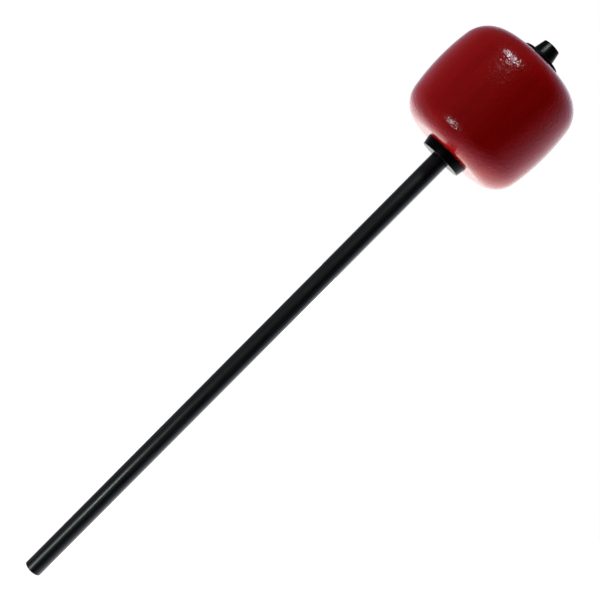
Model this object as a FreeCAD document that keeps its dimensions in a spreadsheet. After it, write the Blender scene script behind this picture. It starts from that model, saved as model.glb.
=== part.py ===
import FreeCAD, Part
import math
import os
import Sketcher
from enum import IntEnum, auto

# Bass drum beater: a turned wooden head, clamped on the stud of a steel shaft between a collar and a nut.
# Millimetres. +Z runs up the shaft, and the origin is the centre of the shaft's lower end.

doc = FreeCAD.newDocument("BassDrumBeater")
sheet = doc.addObject("Spreadsheet::Sheet", "Sizes")

sizes = {
    # shaft: a round rod whose upper end is turned down to a stud above a shoulder
    "shaft_diameter": 6.35,
    "shaft_free_length": 189.7,
    "shaft_end_chamfer": 0.3,
    "stud_diameter": 5.0,
    "stud_root_fillet": 0.2,
    "stud_tip_chamfer": 0.4,
    # collar: a thick disc on the shoulder, whose side draws in downwards
    "collar_upper_diameter": 16.1,
    "collar_lower_diameter": 14.9,
    "collar_thickness": 3.1,
    "collar_edge_chamfer": 0.15,
    # head: flat seats, rounded shoulders and a crowned side that is fullest just below the middle
    "head_diameter": 46.6,
    "head_length": 39.8,
    "head_widest_height": 20.05,
    "crown_radius": 74.9,
    "lower_shoulder_radius": 9.3,
    "upper_shoulder_radius": 10.4,
    "head_bore_chamfer": 0.5,
    # washer on top of the head
    "washer_diameter": 13.9,
    "washer_thickness": 2.35,
    "washer_edge_chamfer": 0.2,
    # tapered round nut with a driver slot across its end
    "nut_base_diameter": 8.15,
    "nut_end_diameter": 6.2,
    "nut_height": 4.8,
    "nut_edge_chamfer": 0.2,
    "nut_slot_width": 1.2,
    "nut_slot_depth": 1.1,
    # radial room round the stud
    "thread_play": 0.05,
    "head_play": 0.1,
    "washer_play": 0.1,
}

for row, (name, value) in enumerate(sizes.items(), start=1):
    sheet.set(f"A{row}", name)
    sheet.set(f"B{row}", str(value))
    sheet.setAlias(f"B{row}", name)
doc.recompute()

# Two lengths closer than this share of the shaft's diameter count as equal when an edge is looked up.
SAME_LENGTH_SHARE = 0.0001
UP = FreeCAD.Vector(0, 0, 1)


class Spot(IntEnum):
    """The points of a sketched line, arc or circle that a constraint can hold."""
    START = auto()
    END = auto()
    CENTRE = auto()


START, END, CENTRE = Spot
# A sketch's own level line has the number -1, and starts at the sketch's origin.
LEVEL_LINE = -1
ORIGIN_POINT = (LEVEL_LINE, START)


def size(name):
    return sheet.get(name)


def new_body(label, seat_height=None):
    body = doc.addObject("PartDesign::Body", label)
    body.Label = label
    if seat_height:
        body.setExpression("Placement.Base.z", seat_height)
    return body


def new_sketch(body, name, role):
    sketch = body.newObject("Sketcher::SketchObject", name)
    plane = next(item for item in body.Origin.OriginFeatures if item.Role == role)
    sketch.AttachmentSupport = [(plane, "")]
    sketch.MapMode = "FlatFace"
    return sketch


def constrain(sketch, *places, formula=None):
    """Add one constraint. A formula ties its value to the sheet."""
    number = sketch.addConstraint(Sketcher.Constraint(*places))
    if formula:
        sketch.setExpression(f"Constraints[{number}]", formula)


def circle(sketch, diameter, formula):
    number = sketch.addGeometry(Part.Circle(FreeCAD.Vector(), UP, diameter / 2))
    constrain(sketch, "Coincident", number, CENTRE, *ORIGIN_POINT)
    constrain(sketch, "Diameter", number, diameter, formula=formula)


def pad(body, sketch, name, formula):
    feature = body.newObject("PartDesign::Pad", name)
    feature.Profile = sketch
    feature.setExpression("Length", formula)
    doc.recompute()
    return feature


def revolve(body, sketch, name):
    feature = body.newObject("PartDesign::Revolution", name)
    feature.Profile = sketch
    feature.ReferenceAxis = (sketch, ["V_Axis"])
    feature.Angle = 360
    doc.recompute()
    return feature


def rim(feature, radius, height):
    """The name of a feature's round edge of this radius at this height."""
    near = SAME_LENGTH_SHARE * size("shaft_diameter")
    for number, edge in enumerate(feature.Shape.Edges, start=1):
        curve = edge.Curve
        if not isinstance(curve, Part.Circle):
            continue
        if abs(curve.Radius - radius) < near and abs(curve.Center.z - height) < near:
            return f"Edge{number}"
    raise ValueError(f"{feature.Label}: no rim of radius {radius} at height {height}")


def fillet(body, base, name, rims, formula):
    feature = body.newObject("PartDesign::Fillet", name)
    feature.Base = (base, rims)
    feature.setExpression("Radius", formula)
    doc.recompute()
    return feature


def chamfer(body, base, name, rims, formula):
    feature = body.newObject("PartDesign::Chamfer", name)
    feature.Base = (base, rims)
    feature.setExpression("Size", formula)
    doc.recompute()
    return feature


def closed_outline(sketch, geometry, smooth=()):
    """Add lines and arcs, each joined to the next and the last to the first.

    The numbers in smooth are of those that run on into the next one without a corner.
    """
    for item in geometry:
        sketch.addGeometry(item)
    for number in range(len(geometry)):
        following = (number + 1) % len(geometry)
        joint = "Tangent" if number in smooth else "Coincident"
        constrain(sketch, joint, number, END, following, START)


def line(start, end):
    return Part.LineSegment(FreeCAD.Vector(*start, 0), FreeCAD.Vector(*end, 0))


def arc(centre, radius, first_angle, last_angle):
    return Part.ArcOfCircle(Part.Circle(FreeCAD.Vector(*centre, 0), UP, radius), first_angle, last_angle)


def across(centre, reach, height):
    """How far out the point at this height lies that is this reach from a centre."""
    return centre[0] + math.sqrt(reach ** 2 - (height - centre[1]) ** 2)


def bearing(centre, point):
    """The angle, from level, at which a point is seen from a centre."""
    return math.atan2(point[1] - centre[1], point[0] - centre[0])


def make_shaft():
    body = new_body("shaft")
    radius = size("shaft_diameter") / 2
    shoulder = size("shaft_free_length")
    stud_radius = size("stud_diameter") / 2

    rod_sketch = new_sketch(body, "rod_section", "XY_Plane")
    circle(rod_sketch, size("shaft_diameter"), "Sizes.shaft_diameter")
    rod = pad(body, rod_sketch, "rod", "Sizes.shaft_free_length")

    # The stud reaches through the stack to the floor of the nut's slot.
    stud_sketch = new_sketch(body, "stud_section", "XY_Plane")
    stud_sketch.setExpression("AttachmentOffset.Base.z", "Sizes.shaft_free_length")
    circle(stud_sketch, size("stud_diameter"), "Sizes.stud_diameter")
    stack = "Sizes.collar_thickness + Sizes.head_length + Sizes.washer_thickness"
    stud = pad(body, stud_sketch, "stud", f"{stack} + Sizes.nut_height - Sizes.nut_slot_depth")
    tip = stud.Shape.BoundBox.ZMax

    root = fillet(body, stud, "stud_root", [rim(stud, stud_radius, shoulder)], "Sizes.stud_root_fillet")
    lead = chamfer(body, root, "stud_lead", [rim(root, stud_radius, tip)], "Sizes.stud_tip_chamfer")
    chamfer(body, lead, "rod_end", [rim(lead, radius, rod.Shape.BoundBox.ZMin)], "Sizes.shaft_end_chamfer")
    return body


def turned_ring(body, name, play, corners):
    """Turn a ring with this play round the stud, standing on the body's own zero height.

    The corners are those of its outer side, from the lower face up, as names of a diameter and a height.
    """
    bore = size("stud_diameter") / 2 + size(play)
    side = [(size(diameter) / 2, size(height) if height else 0) for diameter, height in corners]
    outline = [(bore, side[-1][1]), (bore, 0), *side]
    bore_wall, seat, *flanks, end_face = range(len(outline))

    section = new_sketch(body, f"{name}_section", "XZ_Plane")
    closed_outline(section, [line(*ends) for ends in zip(outline, outline[1:] + outline[:1])])
    constrain(section, "Vertical", bore_wall)
    constrain(section, "Horizontal", seat)
    constrain(section, "Horizontal", end_face)
    constrain(section, "PointOnObject", seat, START, LEVEL_LINE)
    constrain(section, "DistanceX", *ORIGIN_POINT, seat, START, bore,
              formula=f"Sizes.stud_diameter / 2 + Sizes.{play}")
    for edge, (diameter, height), (radius, level) in zip([seat, *flanks], corners, side):
        constrain(section, "DistanceX", *ORIGIN_POINT, edge, END, radius, formula=f"Sizes.{diameter} / 2")
        if height:
            constrain(section, "DistanceY", *ORIGIN_POINT, edge, END, level, formula=f"Sizes.{height}")
    return revolve(body, section, f"{name}_blank")


def make_collar():
    body = new_body("collar", "Sizes.shaft_free_length")
    blank = turned_ring(body, "collar", "washer_play", [
        ("collar_lower_diameter", None),
        ("collar_upper_diameter", "collar_thickness"),
    ])
    lower = rim(blank, size("collar_lower_diameter") / 2, 0)
    upper = rim(blank, size("collar_upper_diameter") / 2, size("collar_thickness"))
    eased = chamfer(body, blank, "collar_edges", [lower, upper], "Sizes.collar_edge_chamfer")

    # The hole is opened at its lower end by as much as the fillet at the stud's root takes up.
    bore = size("stud_diameter") / 2 + size("washer_play")
    chamfer(body, eased, "collar_seat", [rim(eased, bore, 0)], "Sizes.stud_root_fillet")
    return body


def make_head():
    body = new_body("head", "Sizes.shaft_free_length + Sizes.collar_thickness")
    bore = size("stud_diameter") / 2 + size("head_play")
    top = size("head_length")
    crown_radius = size("crown_radius")
    low_radius = size("lower_shoulder_radius")
    high_radius = size("upper_shoulder_radius")

    # Half section: seat, shoulder, crown, shoulder and seat run into each other without a corner. A
    # shoulder's centre is its own radius from its seat, and its radius nearer than the crown's from the
    # crown's centre, which is level with the widest place and far beyond the bore.
    widest = size("head_diameter") / 2
    crown_centre = (widest - crown_radius, size("head_widest_height"))
    low_centre = (across(crown_centre, crown_radius - low_radius, low_radius), low_radius)
    high_centre = (across(crown_centre, crown_radius - high_radius, top - high_radius), top - high_radius)
    low_turn = bearing(crown_centre, low_centre)
    high_turn = bearing(crown_centre, high_centre)
    section = new_sketch(body, "head_section", "XZ_Plane")
    bore_wall, lower_seat, lower_shoulder, crown, upper_shoulder, upper_seat = range(6)
    closed_outline(section, [
        line((bore, top), (bore, 0)),
        line((bore, 0), (low_centre[0], 0)),
        arc(low_centre, low_radius, -math.pi / 2, low_turn),
        arc(crown_centre, crown_radius, low_turn, high_turn),
        arc(high_centre, high_radius, high_turn, math.pi / 2),
        line((high_centre[0], top), (bore, top)),
    ], smooth=(lower_seat, lower_shoulder, crown, upper_shoulder))
    constrain(section, "Vertical", bore_wall)
    constrain(section, "Horizontal", lower_seat)
    constrain(section, "Horizontal", upper_seat)
    constrain(section, "PointOnObject", lower_seat, START, LEVEL_LINE)
    constrain(section, "Radius", lower_shoulder, low_radius, formula="Sizes.lower_shoulder_radius")
    constrain(section, "Radius", crown, crown_radius, formula="Sizes.crown_radius")
    constrain(section, "Radius", upper_shoulder, high_radius, formula="Sizes.upper_shoulder_radius")
    constrain(section, "DistanceX", *ORIGIN_POINT, lower_seat, START, bore,
              formula="Sizes.stud_diameter / 2 + Sizes.head_play")
    constrain(section, "DistanceY", *ORIGIN_POINT, upper_seat, END, top, formula="Sizes.head_length")
    constrain(section, "DistanceX", crown, CENTRE, *ORIGIN_POINT, crown_radius - widest,
              formula="Sizes.crown_radius - Sizes.head_diameter / 2")
    constrain(section, "DistanceY", *ORIGIN_POINT, crown, CENTRE, crown_centre[1],
              formula="Sizes.head_widest_height")
    barrel = revolve(body, section, "head_barrel")

    chamfer(body, barrel, "head_bore_ends", [rim(barrel, bore, 0), rim(barrel, bore, top)],
            "Sizes.head_bore_chamfer")
    return body


def make_top_washer():
    body = new_body("top_washer", "Sizes.shaft_free_length + Sizes.collar_thickness + Sizes.head_length")
    disc = turned_ring(body, "washer", "washer_play", [
        ("washer_diameter", None),
        ("washer_diameter", "washer_thickness"),
    ])
    radius = size("washer_diameter") / 2
    chamfer(body, disc, "washer_edges", [rim(disc, radius, 0), rim(disc, radius, size("washer_thickness"))],
            "Sizes.washer_edge_chamfer")
    return body


def make_top_nut():
    body = new_body("top_nut", "Sizes.shaft_free_length + Sizes.collar_thickness + Sizes.head_length"
                    " + Sizes.washer_thickness")
    cone = turned_ring(body, "nut", "thread_play", [
        ("nut_base_diameter", None),
        ("nut_end_diameter", "nut_height"),
    ])
    lower = rim(cone, size("nut_base_diameter") / 2, 0)
    upper = rim(cone, size("nut_end_diameter") / 2, size("nut_height"))
    eased = chamfer(body, cone, "nut_edges", [lower, upper], "Sizes.nut_edge_chamfer")

    # The driver slot runs right across the end, along X.
    slot = new_sketch(body, "slot_outline", "XY_Plane")
    slot.setExpression("AttachmentOffset.Base.z", "Sizes.nut_height")
    half_length = size("nut_base_diameter") / 2
    half_width = size("nut_slot_width") / 2
    closed_outline(slot, [
        line((-half_length, -half_width), (half_length, -half_width)),
        line((half_length, -half_width), (half_length, half_width)),
        line((half_length, half_width), (-half_length, half_width)),
        line((-half_length, half_width), (-half_length, -half_width)),
    ])
    near_side, right_end, far_side, left_end = range(4)
    for side in (near_side, far_side):
        constrain(slot, "Horizontal", side)
    for side in (right_end, left_end):
        constrain(slot, "Vertical", side)
    constrain(slot, "Symmetric", near_side, START, far_side, START, *ORIGIN_POINT)
    constrain(slot, "DistanceX", near_side, START, near_side, END, 2 * half_length,
              formula="Sizes.nut_base_diameter")
    constrain(slot, "DistanceY", right_end, START, right_end, END, 2 * half_width,
              formula="Sizes.nut_slot_width")
    cut = body.newObject("PartDesign::Pocket", "nut_slot")
    cut.Profile = slot
    cut.setExpression("Length", "Sizes.nut_slot_depth")
    doc.recompute()
    if cut.Shape.Volume >= eased.Shape.Volume:
        raise ValueError("the nut's slot cuts nothing")
    return body


pieces = [make_shaft(), make_collar(), make_head(), make_top_washer(), make_top_nut()]
doc.recompute()

for item in doc.Objects:
    if "Invalid" in item.State or "Error" in item.State:
        raise RuntimeError(f"{item.Label} failed: {item.State}")
for body in pieces:
    if body.Shape.isNull() or not body.Shape.isValid():
        raise RuntimeError(f"{body.Label} has no valid shape")

os.makedirs("parts", exist_ok=True)
for body in pieces:
    body.Shape.exportStep(os.path.join("parts", body.Label + ".step"))
    box = body.Shape.optimalBoundingBox()
    print(f"{body.Label}: {body.Shape.Volume:.1f} mm3, {box.ZMin:.2f} to {box.ZMax:.2f} mm up, "
          f"{box.XLength:.2f} mm across")
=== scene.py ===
import bpy
import bmesh
import math
from mathutils import Matrix, Vector


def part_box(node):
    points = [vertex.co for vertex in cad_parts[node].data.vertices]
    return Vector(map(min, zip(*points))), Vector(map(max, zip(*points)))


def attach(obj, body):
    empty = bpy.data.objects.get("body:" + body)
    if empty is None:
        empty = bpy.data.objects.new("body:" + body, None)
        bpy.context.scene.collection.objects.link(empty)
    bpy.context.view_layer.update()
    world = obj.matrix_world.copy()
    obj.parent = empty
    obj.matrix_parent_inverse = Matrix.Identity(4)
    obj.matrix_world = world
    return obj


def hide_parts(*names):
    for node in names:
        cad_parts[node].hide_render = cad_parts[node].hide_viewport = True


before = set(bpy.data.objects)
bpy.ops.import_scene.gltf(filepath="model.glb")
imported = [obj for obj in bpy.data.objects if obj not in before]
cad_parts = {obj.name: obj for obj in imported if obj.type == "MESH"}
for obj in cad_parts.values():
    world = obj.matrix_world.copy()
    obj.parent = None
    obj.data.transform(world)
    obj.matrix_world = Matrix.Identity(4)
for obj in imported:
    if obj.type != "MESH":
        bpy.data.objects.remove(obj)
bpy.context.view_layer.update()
print("frame:", ", ".join(sorted(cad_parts)))

clampBody = "shaft_and_clamp"
headBody = "head"
fullTurn = 2 * math.pi
quarterTurn = math.pi / 2
onAxis = 1e-7  # a smaller radius is a point on the axis
easeSteps = 5  # facets in an eased corner
sharpAngle = 40  # degrees: edges that turn more than this stay sharp


def putInScene(name, data):
    made = bpy.data.objects.new(name, data)
    bpy.context.scene.collection.objects.link(made)
    return made


def meshFrom(name, bm):
    mesh = bpy.data.meshes.new(name)
    bm.to_mesh(mesh)
    bm.free()
    return mesh


# turned pieces: an outline of (radius, height) points is spun round the shaft's axis

def arcPoints(centre, radius, startAngle, endAngle, steps):
    points = []
    for i in range(steps + 1):
        angle = startAngle + (endAngle - startAngle) * i / steps
        points.append((centre[0] + radius * math.cos(angle), centre[1] + radius * math.sin(angle)))
    return points


def easeCorners(corners):
    # corners are (radius, height, easing): each eased corner becomes a short arc
    outline = []
    for i, (radius, height, ease) in enumerate(corners):
        here = Vector((radius, height))
        if not ease:
            outline.append((radius, height))
            continue
        back = (Vector(corners[i - 1][:2]) - here).normalized()
        ahead = (Vector(corners[(i + 1) % len(corners)][:2]) - here).normalized()
        half = back.angle(ahead) / 2
        centre = here + (back + ahead).normalized() * ease / math.sin(half)
        first = here + back * ease / math.tan(half) - centre
        last = here + ahead * ease / math.tan(half) - centre
        turn = math.atan2(first.x * last.y - first.y * last.x, first.dot(last))
        start = math.atan2(first.y, first.x)
        outline += arcPoints(centre, ease, start, start + turn, easeSteps)
    return outline


def threadPoints(radius, low, high, pitch, rowsPerPitch):
    # closely spaced rows of one radius, for the helix that spinOutline cuts into them
    count = math.ceil((high - low) / pitch * rowsPerPitch)
    return [(radius, low + (high - low) * i / count) for i in range(count + 1)]


def spinOutline(name, outline, steps, closed, thread=None):
    # thread cuts a helix as deep as its depth into the rows between its low and high
    def cut(radius, height, angle):
        if not thread or not thread["low"] < height < thread["high"]:
            return radius
        pitch = thread["pitch"]
        phase = (height / pitch - angle / fullTurn) % 1
        fade = min(1, (height - thread["low"]) / pitch, (thread["high"] - height) / pitch)
        # flat root, sloped flanks, flat crest
        flank = min(1, max(0, thread["flankSlope"] * abs(phase - 0.5) - thread["rootShare"]))
        return radius - thread["depth"] * fade * (1 - flank)

    verts, rows, faces = [], [], []
    for radius, height in outline:
        if radius < onAxis:
            rows.append([len(verts)] * steps)
            verts.append((0, 0, height))
            continue
        rows.append(range(len(verts), len(verts) + steps))
        for k in range(steps):
            angle = fullTurn * k / steps
            r = cut(radius, height, angle)
            verts.append((r * math.cos(angle), r * math.sin(angle), height))
    last = len(rows) if closed else len(rows) - 1
    for i in range(last):
        rowA, rowB = rows[i], rows[(i + 1) % len(rows)]
        for k in range(steps):
            j = (k + 1) % steps
            corners = [rowA[k], rowA[j], rowB[j], rowB[k]]
            faces.append(list(dict.fromkeys(corners)))
    mesh = bpy.data.meshes.new(name)
    mesh.from_pydata(verts, [], faces)
    bm = bmesh.new()
    bm.from_mesh(mesh)
    bmesh.ops.recalc_face_normals(bm, faces=bm.faces)
    bm.to_mesh(mesh)
    bm.free()
    return putInScene(name, mesh)


def smooth(piece):
    piece.data.polygons.foreach_set("use_smooth", [True] * len(piece.data.polygons))
    piece.data.set_sharp_from_angle(angle=math.radians(sharpAngle))


def dress(piece, node, body, material):
    smooth(piece)
    piece.data.materials.append(material)
    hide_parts(node)
    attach(piece, body)
    print("made", piece.name, len(piece.data.polygons), "faces")


# materials: all scales are per metre, all depths in metres

noiseLow, noiseHigh = 0.3, 0.7  # nearly all of a noise lies between these


def addNode(tree, kind, inputs=None, **settings):
    made = tree.nodes.new("ShaderNode" + kind)
    for key, value in settings.items():
        setattr(made, key, value)
    for key, value in (inputs or {}).items():
        if isinstance(value, bpy.types.NodeSocket):
            tree.links.new(value, made.inputs[key])
        else:
            made.inputs[key].default_value = value
    return made


def newMaterial(name):
    material = bpy.data.materials.new(name)
    material.use_nodes = True
    return material, material.node_tree, material.node_tree.nodes["Principled BSDF"]


def toneRamp(tree, noise, places, colours):
    ramp = addNode(tree, "ValToRGB", {"Fac": noise})
    for point, place, colour in zip(ramp.color_ramp.elements, places, colours):
        point.position = place
        point.color = colour
    return ramp.outputs["Color"]


def roughRange(tree, noise, look):
    return addNode(tree, "MapRange", {
        "Value": noise, "From Min": noiseLow, "From Max": noiseHigh,
        "To Min": look["roughLow"], "To Max": look["roughHigh"]}).outputs["Result"]


def wireShader(tree, shader, colour, rough, bump):
    tree.links.new(colour, shader.inputs["Base Color"])
    tree.links.new(rough, shader.inputs["Roughness"])
    tree.links.new(bump.outputs["Normal"], shader.inputs["Normal"])


lacquer = {
    "deepRed": (0.46, 0.0020, 0.0020, 1),
    "litRed": (0.54, 0.0034, 0.0030, 1),
    "redPlaces": (0.35, 0.65),
    "grainScale": (260, 260, 22),  # streaks run along the turning axis
    "grainDetail": 6,
    "grainRough": 0.6,
    "peelScale": 1100,  # lumps of about 0.9 mm
    "peelDetail": 2,
    "peelDepth": 0.000118,
    "nibScale": 2600,
    "nibDetail": 1,
    "nibDepth": 0.000012,
    "roughLow": 0.08,
    "roughHigh": 0.21,
    "index": 1.5,
}


def makeLacquer(look):
    material, tree, shader = newMaterial("redLacquer")
    place = addNode(tree, "TexCoord").outputs["Object"]
    streaks = addNode(tree, "Mapping", {"Vector": place, "Scale": look["grainScale"]})
    grain = addNode(tree, "TexNoise", {
        "Vector": streaks.outputs["Vector"], "Scale": 1,
        "Detail": look["grainDetail"], "Roughness": look["grainRough"]})
    peel = addNode(tree, "TexNoise", {
        "Vector": place, "Scale": look["peelScale"], "Detail": look["peelDetail"]})
    nibs = addNode(tree, "TexNoise", {
        "Vector": place, "Scale": look["nibScale"], "Detail": look["nibDetail"]})
    tone = toneRamp(tree, grain.outputs["Fac"], look["redPlaces"], (look["deepRed"], look["litRed"]))
    rough = roughRange(tree, nibs.outputs["Fac"], look)
    waves = addNode(tree, "Bump", {"Height": peel.outputs["Fac"], "Distance": look["peelDepth"]})
    skin = addNode(tree, "Bump", {
        "Height": nibs.outputs["Fac"], "Distance": look["nibDepth"], "Normal": waves.outputs["Normal"]})
    wireShader(tree, shader, tone, rough, skin)
    shader.inputs["IOR"].default_value = look["index"]
    return material


rodBlack = {
    "dark": (0.0035, 0.0036, 0.0035, 1),
    "worn": (0.0065, 0.0065, 0.0062, 1),
    "blackPlaces": (0.4, 0.75),
    "cloudScale": 220,
    "cloudDetail": 5,
    "lineScale": (3000, 3000, 60),
    "lineDetail": 4,
    "lineDepth": 0.000008,
    "roughLow": 0.22,
    "roughHigh": 0.33,
    "index": 2.0,
    "tint": (0.95, 1.0, 0.88, 1),
}
turnedBlack = {
    "dark": (0.0022, 0.0022, 0.0022, 1),
    "worn": (0.0045, 0.0045, 0.0043, 1),
    "blackPlaces": (0.4, 0.75),
    "cloudScale": 260,
    "cloudDetail": 5,
    "lineScale": (6000, 1, 6000),
    "lineDetail": 4,
    "lineDepth": 0.000008,
    "roughLow": 0.25,
    "roughHigh": 0.34,
    "index": 1.27,
    "tint": (0.95, 1.0, 0.88, 1),
}


def makeBlackCoat(name, look, turned):
    # turned pieces carry rings round the axis, the drawn rod carries lines along it
    material, tree, shader = newMaterial(name)
    place = addNode(tree, "TexCoord").outputs["Object"]
    lines = place
    if turned:
        parts = addNode(tree, "SeparateXYZ", {"Vector": place}).outputs
        flat = addNode(tree, "CombineXYZ", {"X": parts["X"], "Y": parts["Y"]}).outputs["Vector"]
        out = addNode(tree, "VectorMath", {0: flat}, operation="LENGTH").outputs["Value"]
        lines = addNode(tree, "CombineXYZ", {"X": out, "Z": parts["Z"]}).outputs["Vector"]
    lines = addNode(tree, "Mapping", {"Vector": lines, "Scale": look["lineScale"]}).outputs["Vector"]
    marks = addNode(tree, "TexNoise", {"Vector": lines, "Scale": 1, "Detail": look["lineDetail"]})
    cloud = addNode(tree, "TexNoise", {
        "Vector": place, "Scale": look["cloudScale"], "Detail": look["cloudDetail"]})
    tone = toneRamp(tree, cloud.outputs["Fac"], look["blackPlaces"], (look["dark"], look["worn"]))
    rough = roughRange(tree, marks.outputs["Fac"], look)
    bump = addNode(tree, "Bump", {"Height": marks.outputs["Fac"], "Distance": look["lineDepth"]})
    wireShader(tree, shader, tone, rough, bump)
    shader.inputs["IOR"].default_value = look["index"]
    shader.inputs["Specular Tint"].default_value = look["tint"]
    return material


redLacquer = makeLacquer(lacquer)
rodCoat = makeBlackCoat("blackRodCoat", rodBlack, turned=False)
turnedCoat = makeBlackCoat("blackTurnedCoat", turnedBlack, turned=True)
print("materials:", ", ".join(m.name for m in (redLacquer, rodCoat, turnedCoat)))


# shaft: rod, shoulder, stud and the stud's thread

shaft = {
    "rodRadius": 0.003175,
    "studRadius": 0.0025,
    "endChamfer": 0.0003,
    "endEase": 0.00008,
    "shoulderEase": 0.0001,
    "tipChamfer": 0.0004,
    "threadLength": 0.009,
    "steps": 96,
}
thread = {"pitch": 0.0008, "depth": 0.00048, "flankSlope": 2.6, "rootShare": 0.15, "rowsPerPitch": 10}


def makeShaft(size):
    low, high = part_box("shaft")
    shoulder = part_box("collar")[0].z
    rod, stud = size["rodRadius"], size["studRadius"]
    chamfer, tip = size["endChamfer"], size["tipChamfer"]
    top = high.z - tip
    threadLow = top - size["threadLength"]
    outline = [(0, low.z)]
    outline += easeCorners([
        (0, low.z, 0),
        (rod - chamfer, low.z, size["endEase"]),
        (rod, low.z + chamfer, size["endEase"]),
        (rod, shoulder, size["shoulderEase"]),
        (stud, shoulder, 0),
    ])[1:]
    outline += threadPoints(stud, threadLow, top, thread["pitch"], thread["rowsPerPitch"])
    outline += [(stud - tip, high.z), (0, high.z)]
    helix = dict(thread, low=threadLow, high=top)
    piece = spinOutline("beaterShaft", outline, size["steps"], closed=False, thread=helix)
    dress(piece, "shaft", clampBody, rodCoat)


makeShaft(shaft)


# collar: a thick disc whose side draws in downwards

collar = {
    "bore": 0.0026,
    "lowerRadius": 0.00745,
    "upperRadius": 0.00805,
    "lowerEase": 0.00018,
    "upperEase": 0.00014,
    "holeEase": 0.00008,
    "steps": 160,
}


def makeCollar(size):
    low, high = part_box("collar")
    outline = easeCorners([
        (size["bore"], low.z, size["holeEase"]),
        (size["lowerRadius"], low.z, size["lowerEase"]),
        (size["upperRadius"], high.z, size["upperEase"]),
        (size["bore"], high.z, size["holeEase"]),
    ])
    piece = spinOutline("seatCollar", outline, size["steps"], closed=True)
    dress(piece, "collar", clampBody, turnedCoat)


makeCollar(collar)


# washer: a plain disc on the head's upper seat

washer = {"bore": 0.0026, "chamfer": 0.0002, "ease": 0.00005, "steps": 128}


def makeWasher(size):
    low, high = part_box("top_washer")
    radius = (high.x - low.x) / 2
    chamfer, ease = size["chamfer"], size["ease"]
    outline = easeCorners([
        (size["bore"], low.z, ease),
        (radius - chamfer, low.z, ease),
        (radius, low.z + chamfer, ease),
        (radius, high.z - chamfer, ease),
        (radius - chamfer, high.z, ease),
        (size["bore"], high.z, ease),
    ])
    piece = spinOutline("topWasher", outline, size["steps"], closed=True)
    dress(piece, "top_washer", clampBody, turnedCoat)


makeWasher(washer)


# head: seat, shoulder, crown, shoulder and seat in one smooth run, bored for the stud

head = {
    "crownRadius": 0.0749,
    "widestHeight": 0.02005,
    "lowerShoulder": 0.0093,
    "upperShoulder": 0.0104,
    "bore": 0.0026,
    "boreChamfer": 0.0005,
    "shoulderSteps": 32,
    "crownSteps": 40,
    "steps": 224,
}


def makeHead(size):
    low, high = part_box("head")
    widest = (high.x - low.x) / 2
    crown, lower, upper = size["crownRadius"], size["lowerShoulder"], size["upperShoulder"]
    bore, chamfer = size["bore"], size["boreChamfer"]
    middle = (widest - crown, low.z + size["widestHeight"])

    def shoulder(radius, height):
        # where a shoulder's arc has its centre, and the angle at which it meets the crown
        out = math.sqrt((crown - radius) ** 2 - (height - middle[1]) ** 2)
        return (middle[0] + out, height), math.atan2(height - middle[1], out)

    lowCentre, lowTurn = shoulder(lower, low.z + lower)
    highCentre, highTurn = shoulder(upper, high.z - upper)
    outline = [(bore, low.z + chamfer), (bore + chamfer, low.z)]
    outline += arcPoints(lowCentre, lower, -quarterTurn, lowTurn, size["shoulderSteps"])
    outline += arcPoints(middle, crown, lowTurn, highTurn, size["crownSteps"])[1:]
    outline += arcPoints(highCentre, upper, highTurn, quarterTurn, size["shoulderSteps"])[1:]
    outline += [(bore + chamfer, high.z), (bore, high.z - chamfer)]
    piece = spinOutline("beaterHead", outline, size["steps"], closed=True)
    dress(piece, "head", headBody, redLacquer)


makeHead(head)


# nut: a turned cone with a driver slot across its end

nut = {
    "baseRadius": 0.004075,
    "endRadius": 0.0031,
    "bore": 0.00255,
    "ease": 0.0002,
    "boreEndEase": 0.0001,
    "slotWidth": 0.0012,
    "slotDepth": 0.0011,
    "sawLength": 0.0163,  # twice the nut's width
    "steps": 128,
}


def makeNut(size):
    low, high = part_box("top_nut")
    outline = easeCorners([
        (size["bore"], low.z, size["ease"]),
        (size["baseRadius"], low.z, size["ease"]),
        (size["endRadius"], high.z, size["ease"]),
        (size["bore"], high.z, size["boreEndEase"]),
    ])
    piece = spinOutline("coneNut", outline, size["steps"], closed=True)
    bm = bmesh.new()
    bmesh.ops.create_cube(bm, size=1)
    sawSize = (size["sawLength"], size["slotWidth"], 2 * size["slotDepth"])  # half of it stands clear
    bmesh.ops.scale(bm, vec=sawSize, verts=bm.verts)
    bmesh.ops.translate(bm, vec=(0, 0, high.z), verts=bm.verts)
    saw = putInScene("slotTool", meshFrom("slotTool", bm))
    sawn = piece.modifiers.new("slot", "BOOLEAN")
    sawn.object = saw
    sawn.solver = "EXACT"
    graph = bpy.context.evaluated_depsgraph_get()
    cut = bpy.data.meshes.new_from_object(piece.evaluated_get(graph))
    piece.modifiers.clear()
    piece.data = cut
    bpy.data.objects.remove(saw)
    dress(piece, "top_nut", clampBody, turnedCoat)


makeNut(nut)


# studio: pale floor, a white sweep behind that wraps round to the right, lamps on the left

white = (1, 1, 1, 1)
floor = {"radius": 4.0, "sides": 96, "tone": (0.9, 0.9, 0.9, 1), "rough": 0.9, "glow": 1.0}


def makeFloor(look):
    bm = bmesh.new()
    bmesh.ops.create_circle(bm, cap_ends=True, segments=look["sides"], radius=look["radius"])
    ground = putInScene("paleFloor", meshFrom("paleFloor", bm))
    material, _, shader = newMaterial("paleFloor")
    shader.inputs["Base Color"].default_value = look["tone"]
    shader.inputs["Roughness"].default_value = look["rough"]
    shader.inputs["Emission Color"].default_value = white
    shader.inputs["Emission Strength"].default_value = look["glow"]
    ground.data.materials.append(material)
    ground.visible_glossy = False
    ground.visible_diffuse = False
    ground.visible_shadow = False


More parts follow.
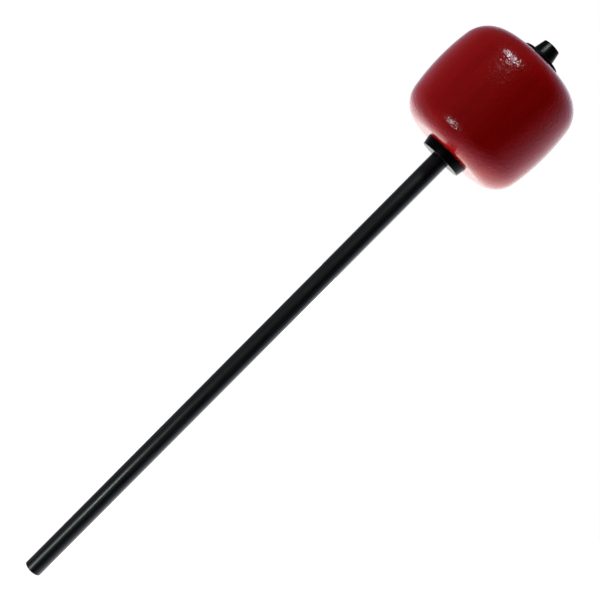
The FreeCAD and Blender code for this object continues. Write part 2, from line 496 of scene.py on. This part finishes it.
# a sweep's stops are (how far towards its bright middle, level, blueness)
sweep = {
    "towards": (0.157, 0.893, -0.423),
    "peak": 1.7,
    "leftStops": (
        (-1, 0.022, 1.1), (-0.6, 0.043, 1.2), (0.1, 0.047, 1.3), (0.3, 0.072, 1.35),
        (0.45, 0.102, 1.35), (0.58, 0.159, 1.35), (0.68, 0.248, 1.3), (0.77, 0.40, 1.2),
        (0.86, 0.85, 1.05), (1, 0.95, 0.97)),
    "rightStops": (
        (-1, 0.003, 1.1), (-0.4, 0.007, 1.2), (-0.25, 0.039, 1.3), (-0.1, 0.085, 1.35),
        (0.05, 0.143, 1.35), (0.2, 0.226, 1.35), (0.35, 0.295, 1.3), (0.5, 0.403, 1.25),
        (0.65, 0.600, 1.15), (0.75, 0.676, 1.08), (0.85, 0.841, 1.0), (1, 0.95, 0.97)),
    "sideBlend": 0.3,
    "highTowards": (0, 0.85, 0.527),
    "highPeak": 0.2,
    "highStops": ((0.92, 0, 1.3), (0.97, 1, 1.3), (1, 1, 1.2)),
    "softTowards": (0.14, 0.91, -0.39),
    "softPeak": 3.1,
    "softStops": (
        (0, 0, 1.0), (0.3, 0.3, 1.0), (0.6, 1, 1.0), (0.8, 0.75, 1.0), (0.9, 0.2, 1.0), (1, 0, 1.0)),
}


def makeSweep(look):
    # shiny paint mirrors the narrow sweep and the glow above it, scattered light comes from the soft
    # one, and the lens sees plain white
    world = bpy.data.worlds.new("studioSweep")
    world.use_nodes = True
    world.cycles.sampling_method = "NONE"
    bpy.context.scene.world = world
    tree = world.node_tree
    tree.nodes.clear()
    way = addNode(tree, "TexCoord").outputs["Generated"]

    def ramp(towards, stops):
        along = addNode(tree, "VectorMath", {0: way, 1: towards}, operation="DOT_PRODUCT")
        share = addNode(tree, "MapRange", {
            "Value": along.outputs["Value"], "From Min": -1.0, "From Max": 1.0})
        made = addNode(tree, "ValToRGB", {"Fac": share.outputs["Result"]})
        points = made.color_ramp.elements
        while len(points) < len(stops):
            points.new(0.5)  # its place is set below
        for point, (reach, level, blue) in zip(points, stops):
            point.position = (reach + 1) / 2
            point.color = (level, level, level * blue, 1)
        return made.outputs["Color"]

    left = ramp(look["towards"], look["leftStops"])
    right = ramp(look["towards"], look["rightStops"])
    high = ramp(look["highTowards"], look["highStops"])
    soft = ramp(look["softTowards"], look["softStops"])
    across = addNode(tree, "SeparateXYZ", {"Vector": way}).outputs["X"]
    blend = addNode(tree, "MapRange", {
        "Value": across, "From Min": -look["sideBlend"], "From Max": look["sideBlend"]},
        interpolation_type="SMOOTHSTEP").outputs["Result"]
    # a colour Mix node keeps its colours in sockets 6 and 7 and gives the result in 2
    mirrored = addNode(tree, "Mix", {"Factor": blend, 6: left, 7: right}, data_type="RGBA").outputs[2]
    rays = addNode(tree, "LightPath").outputs
    narrow = addNode(tree, "Background", {"Color": mirrored, "Strength": look["peak"]}).outputs[0]
    above = addNode(tree, "Background", {"Color": high, "Strength": look["highPeak"]}).outputs[0]
    glossy = addNode(tree, "AddShader", {0: narrow, 1: above}).outputs[0]
    wide = addNode(tree, "Background", {"Color": soft, "Strength": look["softPeak"]}).outputs[0]
    plain = addNode(tree, "Background", {"Color": white}).outputs[0]
    lit = addNode(tree, "MixShader", {0: rays["Is Diffuse Ray"], 1: glossy, 2: wide}).outputs[0]
    seen = addNode(tree, "MixShader", {0: rays["Is Camera Ray"], 1: lit, 2: plain}).outputs[0]
    addNode(tree, "OutputWorld", {"Surface": seen})


# a lamp that scatters lights the plain colours, one that shines is mirrored in the paint
lamps = {
    "highLamp": {
        "at": (-0.2870, -0.3823, 0.5744), "aim": (-0.0063, -0.0214, 0.2250),
        "wide": 0.10, "tall": 0.10, "level": 50.0, "tone": (1, 1, 1),
        "scatters": True, "shines": False},
    "highStrip": {
        "at": (-0.2870, -0.3823, 0.5744), "aim": (-0.0063, -0.0214, 0.2250),
        "wide": 0.20, "tall": 0.07, "level": 72.0, "tone": (0.82, 0.92, 1),
        "scatters": False, "shines": True},
    "lowLamp": {
        "at": (-0.1801, -0.3317, -0.0900), "aim": (-0.0048, -0.0211, 0.1987),
        "wide": 0.08, "tall": 0.035, "level": 11.0, "tone": (0.9, 0.98, 1),
        "scatters": True, "shines": True},
    "lowStrip": {
        "at": (-0.8925, -1.2967, -1.0590), "aim": (-0.0057, -0.0207, 0.1987),
        "wide": 0.42, "tall": 0.10, "level": 56.0, "tone": (0.86, 0.94, 1),
        "scatters": False, "shines": True},
}


def makeLamp(name, look):
    data = bpy.data.lights.new(name, "AREA")
    data.shape = "ELLIPSE"
    data.size = look["wide"]
    data.size_y = look["tall"]
    data.color = look["tone"]
    area = math.pi * look["wide"] * look["tall"] / 4
    data.energy = look["level"] * math.pi * area  # level is the brightness of the lamp's face
    lamp = putInScene(name, data)
    lamp.location = look["at"]
    ahead = Vector(look["aim"]) - Vector(look["at"])
    lamp.rotation_euler = ahead.to_track_quat("-Z", "Y").to_euler()
    lamp.visible_camera = False
    lamp.visible_diffuse = look["scatters"]
    lamp.visible_glossy = look["shines"]


makeFloor(floor)
makeSweep(sweep)
for name, look in lamps.items():
    makeLamp(name, look)
print("studio: floor, sweep,", ", ".join(lamps))


# camera: a little above the middle of the beater, rolled so that the shaft runs from corner to corner

camera = {
    "aim": (-0.00003, 0, 0.12588),
    "distance": 0.40843,
    "elevation": 3.87,  # degrees
    "shaftSlope": 45.15,  # degrees above level in the picture, rising to the right
    "lens": 75.55,
    "sensor": 36,
    "clipStart": 0.01,
    "clipEnd": 50,
}


def makeCamera(look):
    data = bpy.data.cameras.new("photoCamera")
    data.sensor_width = look["sensor"]
    data.lens = look["lens"]
    data.clip_start = look["clipStart"]
    data.clip_end = look["clipEnd"]
    eye = putInScene("photoCamera", data)
    tilt = math.radians(look["elevation"])
    back = Vector((0, -math.cos(tilt), math.sin(tilt)))
    up = Vector((0, math.sin(tilt), math.cos(tilt)))
    right = Vector((1, 0, 0))
    slope = math.radians(look["shaftSlope"])
    across = up * math.cos(slope) + right * math.sin(slope)
    upward = up * math.sin(slope) - right * math.cos(slope)
    turn = Matrix((across, upward, back)).transposed()
    eye.matrix_world = Matrix.Translation(Vector(look["aim"]) + back * look["distance"]) @ turn.to_4x4()
    bpy.context.scene.camera = eye


makeCamera(camera)
bpy.context.scene.view_settings.view_transform = "Standard"
bpy.context.scene.view_settings.look = "None"
print("camera: lens", camera["lens"], "mm")
